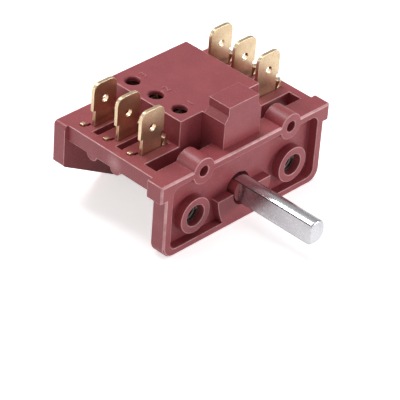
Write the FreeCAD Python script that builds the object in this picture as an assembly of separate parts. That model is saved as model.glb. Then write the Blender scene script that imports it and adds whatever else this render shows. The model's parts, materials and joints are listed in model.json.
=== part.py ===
import FreeCAD, Part
import math
import os

from FreeCAD import Vector

# Oven selector switch, as built: one moulded housing, a cam drum on a D-shaped shaft, a ball detent,
# captive nuts behind the fixing bores, and three leaf contacts between blade terminals.
# X runs across the mounting face, Y runs from the knob into the switch, Z points up along the blades.
# The origin is on the shaft's axis, in the plane of the mounting face. All sizes are in millimetres.

os.makedirs("parts", exist_ok=True)

# Clearances
RUN_FIT = 0.08          # radial, between a turning or sliding piece and its bore
SEAT_FIT = 0.03         # each side, between pieces that stay together
SLOT_FIT = 0.12         # each side, between a stamping and its slot
END_FLOAT = 0.1         # along the drum's axis

# Across the switch: dome, blades and deck, from the middle outwards
DOME_HALF = 11.2
DOME_SKIN = 1.2
TAB_GAP = 2.15          # between the dome's side and a blade
TAB_WIDTH = 6.3
TAB_LIP = 3.15          # from a blade to the deck's side
WINDOW_LIP = 2.2
STRIP_LIP = 1.5

# Front plate
PLATE_INSET = 0.2
PLATE_TOP = 10.8
PLATE_LOW = -7.2
PLATE_DEPTH = 3.6
PLATE_CORNER = 3.0
RIM_SIDE = 1.9
RIM_EDGE = 1.65
TRAY_DEPTH = 2.0
TRAY_CORNER = 1.8
EAR_REACH = 1.2
EAR_HEIGHT = 4.0
EAR_DEPTH = 4.2
EDGE_BEVEL = 0.3

# Fixing bores and the two small screw bosses on the top edge
FIXING_PITCH = 28.0
RING_RADIUS = 4.0
SCREW_RADIUS = 2.4
BOSS_PITCH = 24.9
BOSS_Z = 9.95
BOSS_RADIUS = 2.9
BOSS_HOLE = 1.22
BOSS_BACK = 5.2

# Flush pad below the shaft
PAD_TOP = 0.2
PAD_HALF_TOP = 7.6
PAD_HALF_MID = 7.0
PAD_HALF_LOW = 5.6
JOIN = 0.5              # how far the housing's parts run into each other

# Deck with its side nubs, and the back wall
DECK_THICK = 3.6
NUB_WIDTH = 3.0
NUB_DROP = 1.2
NUB_THICK = 1.3
NUB_BEHIND_TAB = 3.1
WALL_BEHIND_TAB = 3.25
WALL_THICK = 3.2
WALL_CORNER = 0.9
WING_REACH = 0.9
WING_LOW = 1.2
FOOT_HALF = 9.0
THROAT = 2.25           # half the width of the bearing's snap-in mouth

# Dome over the contacts
DOME_BEFORE_TAB = 2.85
DOME_INTO_WALL = 1.4
DOME_TOP = 16.7
SIGHT_RADIUS = 1.6
SIGHT_EDGE = 0.3

# Nose that holds the detent
NOSE_HALF = 5.2
NOSE_FRONT = 2.1
NOSE_CAP_HALF = 4.2
NOSE_SLOPE = 1.5
NOSE_RISE = 3.4         # above the dome
NOSE_ROOF = 1.7
NOSE_WALL = 0.47        # behind the detent's bore

# Blade terminals, three rows from the front; the last two on the right are linked
ROWS = 3
LINKED = (1, 2)
TAB_Y = 11.25
TAB_PITCH = 6.75
TAB_NECK = 5.1
TAB_THICK = 0.8
TAB_TOP = 20.6
TAB_SHOULDER = 14.4
TAB_HOLE = 0.85
TAB_HOLE_DROP = 4.1
TAB_CORNER = 1.7
TAB_CORNER_STEPS = 3
STRIP_WIDTH = 2.7
SHELF_GAP = 0.42        # from the dome's inner side to the middle of the metal at the step
SHELF_STEP = 0.5
SHELF_WIDTH = 1.9
SEAT_REACH = 1.4
FOOT_REACH = 1.3
FOOT_DROP = 1.9
FOOT_TAPER = 0.7
NOTCH_RADIUS = 0.5      # small relief in a strip's front edge
NOTCH_OUT = 0.9         # from the dome's side
PIP_X = 3.95
PIP_Y = 1.55
PIP_SIZE = 0.9
PIP_RISE = 0.45
LUG_X = 3.75
LUG_WIDTH = 1.5
LUG_RISE = 1.9
LUG_TWIST = 40.0
LINK_INSET = 0.9
LINK_HOLE = 1.6
LINK_HOLE_SHIFT = 0.6

# Deck windows: troughs between the blades with a small slot through the floor, and a slot before the dome
WINDOW_BEHIND_TAB = 3.7
WINDOW_WIDTH = 1.6
WINDOW_FLOOR = 1.1
PEEP_LENGTH = 3.0
PEEP_WIDTH = 0.9
FRONT_SLOT_GAP = 1.6    # from the plate's back
CORE_HOLE_LENGTH = 1.2
CORE_HOLE_WIDTH = 0.6
CORE_HOLE_FLOOR = 1.2
CORE_HOLE_LAP = 0.2      # into the pip's hole

# Shaft and drum
SHAFT_RADIUS = 2.75
SHAFT_FLAT = 1.55
SHAFT_OUT = 19.5
SHAFT_SHORT = 3.0       # from the shaft's inner end to the back wall
SHAFT_CHAMFER = 0.5
HUB_RADIUS = 3.2
HUB_START = 1.7
CRESCENT_START = 0.25   # the hub's filling beside the shaft's flat
CORE_RADIUS = 4.4
REAR_RADIUS = 2.6
LAND_RADIUS = 6.2
LAND_START = 20.0
LAND_SWEEP = 150.0
CAM_RADIUS = 6.9
CAM_LOW_RADIUS = 5.6
CAM_WIDTH = 2.4

# Detent
TURN = 360.0
STEPS = 12
STAR_GAP = 0.2          # behind the front plate
STAR_WIDTH = 3.2
STAR_RADIUS = 6.2
BALL_RADIUS = 1.8
BALL_Z = 7.3
SPRING_WIRE = 0.4
SPRING_GAP = 0.1
SPRING_TURNS = 7
SPRING_SIDES = 14       # straight runs in a turn

# Leaf contacts
CIRCUIT_SHIFT = 0.75
LEAF_THICK = 0.3
LEAF_WIDTH = 2.4
LEAF_Z = 11.25
LEAF_MARGIN = 1.2       # of leaf beyond a rivet or contact
LEAF_RISE = 2.3
FOLLOWER_HALF = 1.8
FOLLOWER_FLAT = 0.5
CONTACT_INSET = 2.1     # from the dome's inner side
CONTACT_RADIUS = 1.05
CONTACT_THICK = 0.7
CONTACT_GAP = 1.0
RIVET_INSET = 1.9
RIVET_SHANK = 0.6
RIVET_HEAD = 1.05
RIVET_HEIGHT = 0.45
TAIL_RADIUS = 0.8
TAIL_HEIGHT = 0.22
RIVET_SIDES = 18

# Captive nuts
NUT_WIDTH = 5.6
NUT_HEIGHT = 8.0
NUT_THICK = 1.5
NUT_HOLE = 1.65
NUT_BLOCK_WALL = 1.0
NUT_BLOCK_LOW = -4.0
NUT_BLOCK_BACK = 8.1
NUT_POCKET = 3.8
GUSSET = 3.0
GUSSET_WIDTH = 1.2

# Places that follow from the sizes above
TAB_X = DOME_HALF + TAB_GAP + TAB_WIDTH / 2
DECK_HALF = TAB_X + TAB_WIDTH / 2 + TAB_LIP
PLATE_HALF = DECK_HALF - PLATE_INSET
EAR_HALF = DECK_HALF + EAR_REACH
WING_HALF = DECK_HALF + WING_REACH
WINDOW_OUTER = DECK_HALF - WINDOW_LIP
STRIP_OUTER = DECK_HALF - STRIP_LIP
DECK_LOW = PLATE_TOP - DECK_THICK
STRIP_LOW = DECK_LOW - TAB_THICK
WALL_FRONT = TAB_Y + (ROWS - 1) * TAB_PITCH + WALL_BEHIND_TAB
BACK_FACE = WALL_FRONT + WALL_THICK
DOME_FRONT = TAB_Y - DOME_BEFORE_TAB
DOME_BACK = WALL_FRONT + DOME_INTO_WALL
CAVITY_HALF = DOME_HALF - DOME_SKIN
CAVITY_FRONT = DOME_FRONT + DOME_SKIN
CAVITY_BACK = WALL_FRONT
CAVITY_TOP = DOME_TOP - DOME_SKIN
LINK_INNER = DOME_HALF - LINK_INSET
CONTACT_X = CAVITY_HALF - CONTACT_INSET
RIVET_X = CAVITY_HALF - RIVET_INSET
DETENT_Y = PLATE_DEPTH + STAR_GAP + STAR_WIDTH / 2
NOSE_CAP_BACK = DETENT_Y + BALL_RADIUS + RUN_FIT + NOSE_WALL
SHAFT_IN = WALL_FRONT - SHAFT_SHORT
STEP_ANGLE = TURN / STEPS
NOSE_TOP = DOME_TOP + NOSE_RISE
SPRING_TOP = NOSE_TOP - NOSE_ROOF
LEAF_LOW = LEAF_Z - LEAF_THICK / 2
LEAF_HIGH = LEAF_Z + LEAF_THICK / 2
SHELF_TOP = LEAF_LOW - 2 * CONTACT_THICK - CONTACT_GAP


def block(x0, x1, y0, y1, z0, z1):
    """A box between two corners."""
    return Part.makeBox(x1 - x0, y1 - y0, z1 - z0, Vector(x0, y0, z0))


def rod_y(x, z, radius, y0, y1):
    """A cylinder along Y."""
    return Part.makeCylinder(radius, y1 - y0, Vector(x, y0, z), Vector(0, 1, 0))


def rod_z(x, y, radius, z0, z1):
    """A cylinder along Z."""
    return Part.makeCylinder(radius, z1 - z0, Vector(x, y, z0), Vector(0, 0, 1))


def prism_y(points, y0, y1):
    """A prism along Y on a closed outline of (x, z) points."""
    corners = [Vector(x, y0, z) for x, z in points]
    face = Part.Face(Part.makePolygon(corners + corners[:1]))
    return face.extrude(Vector(0, y1 - y0, 0))


def prism_x(points, x0, x1):
    """A prism along X on a closed outline of (y, z) points."""
    corners = [Vector(x0, y, z) for y, z in points]
    face = Part.Face(Part.makePolygon(corners + corners[:1]))
    return face.extrude(Vector(x1 - x0, 0, 0))


def flipped(shape):
    """The same shape on the other side of the YZ plane."""
    return shape.mirror(Vector(0, 0, 0), Vector(1, 0, 0))


def both_sides(shape):
    """A shape and its mirror image across the YZ plane."""
    return [shape, flipped(shape)]


def edges_along_y(shape, wanted):
    """The straight edges parallel to Y whose middle (x, z) is wanted."""
    found = []
    for edge in shape.Edges:
        if len(edge.Vertexes) != 2:
            continue
        first, last = (v.Point for v in edge.Vertexes)
        middle = (first + last) * 0.5
        if abs(first.x - last.x) + abs(first.z - last.z) < 1e-6 and wanted(middle.x, middle.z):
            found.append(edge)
    return found


def edges_on_face_y(shape, y):
    """The edges that lie in a plane of constant Y."""
    return [e for e in shape.Edges if abs(e.BoundBox.YMin - y) < 1e-6 and abs(e.BoundBox.YMax - y) < 1e-6]


def tab_y(row):
    """Y of the middle of a blade, by row from the front."""
    return TAB_Y + row * TAB_PITCH


def circuit_y(row):
    """Y of the middle of a leaf contact and its cam."""
    return tab_y(row) + CIRCUIT_SHIFT


def write(node, shape):
    """One STEP file per piece."""
    solid = shape.removeSplitter()
    if len(solid.Solids) == 1:
        solid = solid.Solids[0]
    solid.exportStep("parts/" + node + ".step")
    print(node, "solids", len(shape.Solids), "valid", solid.isValid(), "volume", round(solid.Volume, 2))


# Housing

def front_plate():
    """The rimmed plate, rounded at its two lower corners and bevelled along its front edge."""
    plate = block(-PLATE_HALF, PLATE_HALF, 0, PLATE_DEPTH, PLATE_LOW, PLATE_TOP)
    plate = plate.makeFillet(PLATE_CORNER, edges_along_y(plate, lambda x, z: z < 0))
    ears = block(-EAR_HALF, EAR_HALF, 0, EAR_DEPTH, PLATE_TOP - EAR_HEIGHT, PLATE_TOP)
    plate = plate.fuse(ears).removeSplitter()
    return plate.makeChamfer(EDGE_BEVEL, edges_on_face_y(plate, 0.0))


def tray():
    """The shallow recess inside the rim."""
    inner = PLATE_HALF - RIM_SIDE
    hollow = block(-inner, inner, -1, TRAY_DEPTH, PLATE_LOW + RIM_EDGE, PLATE_TOP - RIM_EDGE)
    return hollow.makeFillet(TRAY_CORNER, edges_along_y(hollow, lambda x, z: True))


def pad():
    """The flush pad below the shaft, with bowed sides."""
    low = PLATE_LOW + RIM_EDGE - JOIN
    middle = (PAD_TOP + low) / 2
    right = Part.Arc(Vector(PAD_HALF_TOP, 0, PAD_TOP), Vector(PAD_HALF_MID, 0, middle),
                     Vector(PAD_HALF_LOW, 0, low)).toShape()
    left = Part.Arc(Vector(-PAD_HALF_LOW, 0, low), Vector(-PAD_HALF_MID, 0, middle),
                    Vector(-PAD_HALF_TOP, 0, PAD_TOP)).toShape()
    top = Part.makeLine(Vector(-PAD_HALF_TOP, 0, PAD_TOP), Vector(PAD_HALF_TOP, 0, PAD_TOP))
    bottom = Part.makeLine(Vector(PAD_HALF_LOW, 0, low), Vector(-PAD_HALF_LOW, 0, low))
    outline = Part.Wire([top, right, bottom, left])
    return Part.Face(outline).extrude(Vector(0, PLATE_DEPTH, 0))


def back_wall():
    """The wall behind the deck, sloped up to its wings, with the snap-in bearing of the drum."""
    outline = [(-WING_HALF, PLATE_TOP), (WING_HALF, PLATE_TOP), (WING_HALF, WING_LOW), (FOOT_HALF, PLATE_LOW),
               (-FOOT_HALF, PLATE_LOW), (-WING_HALF, WING_LOW)]
    wall = prism_y(outline, WALL_FRONT, BACK_FACE)
    wall = wall.makeFillet(WALL_CORNER, edges_along_y(wall, lambda x, z: abs(x) > WING_HALF - 0.01))
    bearing = rod_y(0, 0, REAR_RADIUS + RUN_FIT, WALL_FRONT - 1, BACK_FACE + 1)
    mouth = block(-THROAT, THROAT, WALL_FRONT - 1, BACK_FACE + 1, PLATE_LOW - 1, 0)
    return wall.cut([bearing, mouth])


def deck():
    """The deck that carries the terminals, with two half-round nubs under each side."""
    plate = block(-DECK_HALF, DECK_HALF, PLATE_DEPTH - JOIN, WALL_FRONT + JOIN, DECK_LOW, PLATE_TOP)
    nubs = []
    for row in range(ROWS - 1):
        middle = tab_y(row) + NUB_BEHIND_TAB
        nub = rod_z(0, 0, NUB_WIDTH / 2, 0, NUB_THICK)
        nub.rotate(Vector(0, 0, 0), Vector(0, 1, 0), 90)
        nub.translate(Vector(DECK_HALF - NUB_THICK, middle, DECK_LOW + NUB_WIDTH / 2 - NUB_DROP))
        nubs += both_sides(nub)
    return plate.fuse(nubs)


def nose():
    """The tall block on the dome's front: square below, sloped in, and capped above the dome."""
    slope_top = DOME_TOP + NOSE_SLOPE
    right = [(NOSE_HALF, DECK_LOW), (NOSE_HALF, DOME_TOP), (NOSE_CAP_HALF, slope_top)]
    outline = right + [(-x, z) for x, z in reversed(right)]
    base = prism_y(outline, NOSE_FRONT, NOSE_CAP_BACK)
    neck = block(-NOSE_HALF, NOSE_HALF, NOSE_CAP_BACK - JOIN, DOME_FRONT + JOIN, DECK_LOW, DOME_TOP)
    cap = block(-NOSE_CAP_HALF, NOSE_CAP_HALF, NOSE_FRONT, NOSE_CAP_BACK, slope_top - JOIN, NOSE_TOP)
    return base.fuse([neck, cap])


def nut_block():
    """The block behind one fixing bore: a slot for the nut and a pocket for the screw's tip."""
    middle = FIXING_PITCH / 2
    half = NUT_WIDTH / 2 + NUT_BLOCK_WALL
    front = PLATE_DEPTH - JOIN
    return block(middle - half, middle + half, front, NUT_BLOCK_BACK, NUT_BLOCK_LOW, DECK_LOW + JOIN)


def nut_space():
    """What is cut for the nut, the screw and the screw's tip on one side."""
    middle = FIXING_PITCH / 2
    half = NUT_WIDTH / 2 + SLOT_FIT
    top = NUT_BLOCK_LOW + NUT_HEIGHT + SLOT_FIT
    back = PLATE_DEPTH + NUT_THICK + SLOT_FIT
    slot = block(middle - half, middle + half, PLATE_DEPTH, back, NUT_BLOCK_LOW - 1, top)
    pocket = block(middle - NUT_POCKET / 2, middle + NUT_POCKET / 2, PLATE_DEPTH + NUT_THICK,
                   NUT_BLOCK_BACK - NUT_BLOCK_WALL, NUT_BLOCK_LOW - 1, NUT_POCKET)
    bore = rod_y(middle, 0, SCREW_RADIUS, -1, PLATE_DEPTH + SLOT_FIT)
    return slot.fuse([pocket, bore])


def gusset():
    """A sloped web beside a nut block, between the front plate and the deck."""
    root = PLATE_DEPTH - JOIN
    tip = PLATE_DEPTH + GUSSET
    low = DECK_LOW - GUSSET
    high = DECK_LOW + JOIN
    outline = [(root, high), (tip, high), (tip, DECK_LOW), (PLATE_DEPTH, low), (root, low)]
    inner = FIXING_PITCH / 2 + NUT_WIDTH / 2 + NUT_BLOCK_WALL
    return prism_x(outline, inner - JOIN, inner + GUSSET_WIDTH)


def deck_windows():
    """The troughs between the blades, each with a slot through its floor, and the slot before the dome."""
    above = PLATE_TOP + 1
    cuts = []
    for row in range(ROWS - 1):
        start = tab_y(row) + WINDOW_BEHIND_TAB
        end = start + WINDOW_WIDTH
        cuts.append(block(DOME_HALF, WINDOW_OUTER, start, end, DECK_LOW + WINDOW_FLOOR, above))
        peep = TAB_X - PEEP_LENGTH
        cuts.append(block(peep, peep + PEEP_LENGTH, end - PEEP_WIDTH, end, DECK_LOW - 1, above))
    front = PLATE_DEPTH + FRONT_SLOT_GAP
    cuts.append(block(NOSE_HALF, WINDOW_OUTER, front, DOME_FRONT, DECK_LOW - 1, above).cut(nut_block()))
    return cuts


def sight_hole(y):
    """A round hole over a contact, with a bevelled mouth."""
    mouth = Part.makeCone(SIGHT_RADIUS, SIGHT_RADIUS + 2 * SIGHT_EDGE, 2 * SIGHT_EDGE,
                          Vector(-CONTACT_X, y, DOME_TOP - SIGHT_EDGE), Vector(0, 0, 1))
    return [rod_z(-CONTACT_X, y, SIGHT_RADIUS, CAVITY_TOP - 1, DOME_TOP + 1), mouth]


def terminal_slots(x, y):
    """The deck's slot for a blade and its lug, the hole for its pip, and the core hole beside the pip."""
    below = DECK_LOW - 1
    above = PLATE_TOP + 1
    thick = TAB_THICK / 2 + SLOT_FIT
    inner = x - TAB_NECK / 2 - SLOT_FIT
    outer = x + LUG_X + LUG_WIDTH / 2 + SLOT_FIT
    slot = block(inner, outer, y - thick, y + thick, below, above)
    size = PIP_SIZE / 2 + SLOT_FIT
    pip_hole = block(x - PIP_X - size, x - PIP_X + size, y + PIP_Y - size, y + PIP_Y + size, below, above)
    core_x = x - PIP_X + size - CORE_HOLE_LAP
    core_y = y + PIP_Y - size + CORE_HOLE_LAP
    core_hole = block(core_x, core_x + CORE_HOLE_LENGTH, core_y - CORE_HOLE_WIDTH, core_y,
                      DECK_LOW + CORE_HOLE_FLOOR, above)
    return [slot, pip_hole, core_hole]


def housing():
    """The whole moulding as one solid."""
    shell = front_plate().cut(tray())
    rings = [rod_y(s * FIXING_PITCH / 2, 0, RING_RADIUS, 0, PLATE_DEPTH) for s in (-1, 1)]
    bosses = [rod_y(s * BOSS_PITCH / 2, BOSS_Z, BOSS_RADIUS, 0, BOSS_BACK) for s in (-1, 1)]
    dome = block(-DOME_HALF, DOME_HALF, DOME_FRONT, DOME_BACK, DECK_LOW + JOIN, DOME_TOP)
    shell = shell.fuse(rings + bosses + [pad(), deck(), back_wall(), dome, nose()])
    shell = shell.fuse(both_sides(nut_block()) + both_sides(gusset()))
    cavity = block(-CAVITY_HALF, CAVITY_HALF, CAVITY_FRONT, CAVITY_BACK, DECK_LOW - 1, CAVITY_TOP)
    cuts = [cavity, rod_y(0, 0, HUB_RADIUS + RUN_FIT, -1, PLATE_DEPTH + 1)]
    cuts.append(rod_z(0, DETENT_Y, BALL_RADIUS + RUN_FIT, DECK_LOW - 1, SPRING_TOP))
    cuts += [rod_y(s * BOSS_PITCH / 2, BOSS_Z, BOSS_HOLE, -1, BOSS_BACK + 1) for s in (-1, 1)]
    for row in range(ROWS):
        cuts += sight_hole(circuit_y(row))
    for cut in deck_windows() + [nut_space()]:
        cuts += both_sides(cut)
    for row in range(ROWS):
        cuts += terminal_slots(-TAB_X, tab_y(row)) + terminal_slots(TAB_X, tab_y(row))
    return shell.cut(cuts)


# Drum, shaft and detent

def d_section(radius, flat, y0, y1):
    """A rod along Y with a flat that faces -X."""
    rod = rod_y(0, 0, radius, y0, y1)
    return rod.cut(block(-radius - 1, -flat, y0 - 1, y1 + 1, -radius - 1, radius + 1))


def shaft():
    """The D-shaped shaft, chamfered at its free end."""
    body = d_section(SHAFT_RADIUS, SHAFT_FLAT, -SHAFT_OUT, SHAFT_IN)
    tip = Part.makeCone(SHAFT_RADIUS - SHAFT_CHAMFER, SHAFT_RADIUS + 1, SHAFT_CHAMFER + 1,
                        Vector(0, -SHAFT_OUT, 0), Vector(0, 1, 0))
    envelope = tip.fuse(rod_y(0, 0, SHAFT_RADIUS + 1, -SHAFT_OUT + SHAFT_CHAMFER + 1, SHAFT_IN + 1))
    return body.common(envelope)


def sector_y(radius, start, sweep, y0, y1):
    """A pie slice around the Y axis; angles run from +Z towards +X."""
    slice_y = Part.makeCylinder(radius, y1 - y0, Vector(0, y0, 0), Vector(0, 1, 0), sweep)
    centre = slice_y.CenterOfMass
    have = math.degrees(math.atan2(centre.x, centre.z))
    slice_y.rotate(Vector(0, 0, 0), Vector(0, 1, 0), start + sweep / 2 - have)
    return slice_y


def star_wheel():
    """The detent wheel: one round valley for each step, the first straight up."""
    y0 = DETENT_Y - STAR_WIDTH / 2
    y1 = DETENT_Y + STAR_WIDTH / 2
    wheel = rod_y(0, 0, STAR_RADIUS, y0, y1)
    valleys = []
    for step in range(STEPS):
        angle = math.radians(step * STEP_ANGLE)
        x = BALL_Z * math.sin(angle)
        z = BALL_Z * math.cos(angle)
        valleys.append(rod_y(x, z, BALL_RADIUS + RUN_FIT, y0 - 1, y1 + 1))
    return wheel.cut(valleys)


def cam(row):
    """One cam: full height where it holds its leaf up, and lower where it lets the contact close."""
    y0 = circuit_y(row) - CAM_WIDTH / 2
    y1 = circuit_y(row) + CAM_WIDTH / 2
    low = rod_y(0, 0, CAM_LOW_RADIUS, y0, y1)
    sweep = STEP_ANGLE * (4 - row)
    gap = STEP_ANGLE * (2 + row)
    start = -sweep / 2
    lobes = []
    while start < TURN - sweep:
        lobes.append(sector_y(CAM_RADIUS, start, sweep, y0, y1))
        start += sweep + gap
    return low.fuse(lobes)


def drum():
    """The cam drum with its hub, detent wheel, cams, lands and rear journal."""
    front = PLATE_DEPTH + END_FLOAT
    back = WALL_FRONT - END_FLOAT
    body = rod_y(0, 0, CORE_RADIUS, front, back)
    beside_flat = block(-SHAFT_RADIUS - 1, -SHAFT_FLAT - SEAT_FIT, 0, front, -SHAFT_RADIUS, SHAFT_RADIUS)
    crescent = rod_y(0, 0, SHAFT_RADIUS, CRESCENT_START, front).common(beside_flat)
    hub = rod_y(0, 0, HUB_RADIUS, HUB_START, front)
    body = body.fuse([hub, crescent, rod_y(0, 0, REAR_RADIUS, back, BACK_FACE)])
    lands = []
    for row in range(ROWS - 1):
        start = circuit_y(row) + CAM_WIDTH / 2
        end = circuit_y(row + 1) - CAM_WIDTH / 2
        lands.append(sector_y(LAND_RADIUS, LAND_START, LAND_SWEEP, start, end))
    wheel_back = DETENT_Y + STAR_WIDTH / 2
    lands.append(sector_y(LAND_RADIUS, LAND_START, LAND_SWEEP, wheel_back, circuit_y(0)))
    body = body.fuse(lands + [star_wheel()] + [cam(row) for row in range(ROWS)])
    bore = d_section(SHAFT_RADIUS + SEAT_FIT, SHAFT_FLAT + SEAT_FIT, -1, SHAFT_IN + END_FLOAT)
    return body.cut(bore)


def detent_spring():
    """The coil spring between the ball and the nose's roof, in short straight runs of six-sided wire."""
    radius = BALL_RADIUS - SPRING_WIRE / 2 - SPRING_GAP
    bottom = BALL_Z + math.sqrt(BALL_RADIUS ** 2 - radius ** 2) + SPRING_WIRE
    rise = (SPRING_TOP - SPRING_WIRE - bottom) / (SPRING_TURNS * SPRING_SIDES)
    points = []
    for i in range(SPRING_TURNS * SPRING_SIDES + 1):
        angle = 2 * math.pi * i / SPRING_SIDES
        turned = Vector(radius * math.cos(angle), radius * math.sin(angle), 0)
        points.append(Vector(0, DETENT_Y, bottom + i * rise) + turned)
    along = (points[1] - points[0]).normalize()
    across = along.cross(Vector(0, 0, 1)).normalize()
    upward = along.cross(across)
    corners = []
    for i in range(6):
        angle = math.radians(60 * i)
        corners.append(points[0] + (across * math.cos(angle) + upward * math.sin(angle)) * (SPRING_WIRE / 2))
    section = Part.makePolygon(corners + corners[:1])
    return Part.makePolygon(points).makePipeShell([section], True, False, 1)


# Terminals, leaves and contacts

def blade(x, y):
    """One tab: neck, shoulders, rounded tip and hole."""
    half = TAB_WIDTH / 2
    neck = TAB_NECK / 2
    right = [(neck, STRIP_LOW), (neck, TAB_SHOULDER), (half, TAB_SHOULDER)]
    for step in range(TAB_CORNER_STEPS + 1):
        angle = math.pi / 2 * step / TAB_CORNER_STEPS
        inset = TAB_CORNER * (1 - math.cos(angle))
        right.append((half - inset, TAB_TOP - TAB_CORNER * (1 - math.sin(angle))))
    outline = right + [(-dx, z) for dx, z in reversed(right)]
    plate = prism_y([(x + dx, z) for dx, z in outline], y - TAB_THICK / 2, y + TAB_THICK / 2)
    hole = rod_y(x, TAB_TOP - TAB_HOLE_DROP, TAB_HOLE, y - 1, y + 1)
    return plate.cut(hole)


def lug(x, y):
    """The lug beside a blade: straight through the deck, and twisted above it to lock."""
    half = LUG_WIDTH / 2
    thick = TAB_THICK / 2
    top = PLATE_TOP + LUG_RISE
    low = [Vector(half, thick, PLATE_TOP), Vector(-half, thick, PLATE_TOP), Vector(-half, -thick, PLATE_TOP),
           Vector(half, -thick, PLATE_TOP)]
    turn = FreeCAD.Rotation(Vector(0, 0, 1), LUG_TWIST)
    high = [turn.multVec(Vector(corner.x, corner.y, top)) for corner in low]
    faces = [Part.Face(Part.makePolygon(ring + ring[:1])) for ring in (low, high)]
    for i in range(4):
        j = (i + 1) % 4
        faces.append(Part.Face(Part.makePolygon([low[i], low[j], high[j], low[i]])))
        faces.append(Part.Face(Part.makePolygon([low[i], high[j], high[i], low[i]])))
    twisted = Part.Solid(Part.Shell(faces))
    post = block(-half, half, -thick, thick, STRIP_LOW, PLATE_TOP).fuse(twisted)
    post.translate(Vector(x + LUG_X, y, 0))
    return post


def pip(x, y):
    """The small square pip that steadies a terminal in the deck."""
    half = PIP_SIZE / 2
    return block(x - PIP_X - half, x - PIP_X + half, y + PIP_Y - half, y + PIP_Y + half, STRIP_LOW,
                 PLATE_TOP + PIP_RISE)


def upright(x, y):
    """What stands up from a terminal's strip: blade, lug and pip."""
    return [blade(x, y), lug(x, y), pip(x, y)]


def strip(x0, x1, y0, y1):
    """Flat metal under the deck."""
    return block(x0, x1, y0, y1, STRIP_LOW, DECK_LOW)


def shelf(row):
    """The inner end of a left terminal: a step up to a seat bored for its contact."""
    y = circuit_y(row)
    low = DECK_LOW - TAB_THICK / 2
    high = SHELF_TOP - TAB_THICK / 2
    foot = SHELF_GAP - CAVITY_HALF
    end = CONTACT_RADIUS - CONTACT_X
    middle = [(foot - STRIP_WIDTH, low), (foot, low), (foot + SHELF_STEP, high), (end, high)]
    seat = ribbon(middle, TAB_THICK, y - SHELF_WIDTH / 2, y + SHELF_WIDTH / 2)
    return seat.cut(rod_z(-CONTACT_X, y, RIVET_SHANK + SEAT_FIT, STRIP_LOW, SHELF_TOP + 1))


def left_terminal(row):
    """A switched terminal: blade, lug, pip and strip, with the raised seat at its inner end."""
    y = tab_y(row)
    front = y - TAB_THICK / 2
    base = strip(-STRIP_OUTER, SHELF_GAP - CAVITY_HALF - SHELF_STEP, front, front + STRIP_WIDTH)
    base = base.cut(rod_z(-DOME_HALF - NOTCH_OUT, front, NOTCH_RADIUS, STRIP_LOW - 1, DECK_LOW + 1))
    return base.fuse([shelf(row)] + upright(-TAB_X, y))


def leaf_seat(row):
    """The bored inner end of a right terminal that carries a leaf."""
    y = circuit_y(row)
    seat = strip(RIVET_X - SEAT_REACH, LINK_INNER, y - LEAF_WIDTH / 2, y + LEAF_WIDTH / 2)
    return seat.cut(rod_z(RIVET_X, y, RIVET_SHANK + SEAT_FIT, STRIP_LOW - 1, DECK_LOW + 1))


def single_terminal():
    """The front terminal on the right: blade, strip, leaf seat and a tapered foot beside it."""
    y = tab_y(0)
    front = y - TAB_THICK / 2
    inner = RIVET_X - SEAT_REACH
    outer = RIVET_X + FOOT_REACH
    base = strip(LINK_INNER, TAB_X + LUG_X + LUG_WIDTH / 2, front, front + STRIP_WIDTH)
    corners = [(inner, circuit_y(0) - LEAF_WIDTH / 2), (outer, circuit_y(0) - LEAF_WIDTH / 2), (outer, front),
               (outer - FOOT_TAPER, front - FOOT_DROP), (inner + FOOT_TAPER, front - FOOT_DROP),
               (inner, front - FOOT_DROP + FOOT_TAPER)]
    outline = [Vector(x, y, STRIP_LOW) for x, y in corners]
    foot = Part.Face(Part.makePolygon(outline + outline[:1])).extrude(Vector(0, 0, TAB_THICK))
    base = base.cut(rod_z(outer + NOTCH_RADIUS, front, NOTCH_RADIUS, STRIP_LOW - 1, DECK_LOW + 1))
    return base.fuse([leaf_seat(0), foot] + upright(TAB_X, y))


def link_terminal():
    """The wide plate that joins the two rear blades on the right."""
    first, last = LINKED
    front = tab_y(first) - TAB_THICK / 2
    back = tab_y(last) + TAB_THICK / 2
    pieces = [strip(LINK_INNER, TAB_X, back - JOIN, circuit_y(last) + LEAF_WIDTH / 2)]
    for row in LINKED:
        pieces += [leaf_seat(row)] + upright(TAB_X, tab_y(row))
    hole = rod_z(TAB_X - LINK_HOLE_SHIFT, (front + back) / 2, LINK_HOLE, STRIP_LOW - 1, DECK_LOW + 1)
    return strip(LINK_INNER, TAB_X + LUG_X + LUG_WIDTH / 2, front, back).fuse(pieces).cut(hole)


def leaf(row):
    """A leaf contact: rooted on the right terminal, bent down to its cam, free at the left."""
    y = circuit_y(row)
    root = DECK_LOW + LEAF_THICK / 2
    rise = RIVET_X - LEAF_MARGIN
    dip = CAM_RADIUS + RUN_FIT + LEAF_THICK / 2
    tip = -CONTACT_X - LEAF_MARGIN
    middle = [(RIVET_X + LEAF_MARGIN, root), (rise, root), (rise - LEAF_RISE, LEAF_Z), (FOLLOWER_HALF, LEAF_Z),
              (FOLLOWER_FLAT, dip), (-FOLLOWER_FLAT, dip), (-FOLLOWER_HALF, LEAF_Z), (tip, LEAF_Z)]
    return ribbon(middle, LEAF_THICK, y - LEAF_WIDTH / 2, y + LEAF_WIDTH / 2)


def offset_point(before, here, after, distance):
    """The mitred corner of a line offset to its left."""
    first = Vector(here[0] - before[0], here[1] - before[1], 0).normalize()
    second = Vector(after[0] - here[0], after[1] - here[1], 0).normalize()
    normal = Vector(-first.y - second.y, first.x + second.x, 0).normalize()
    stretch = distance / (normal.x * -first.y + normal.y * first.x)
    return (here[0] + normal.x * stretch, here[1] + normal.y * stretch)


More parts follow.
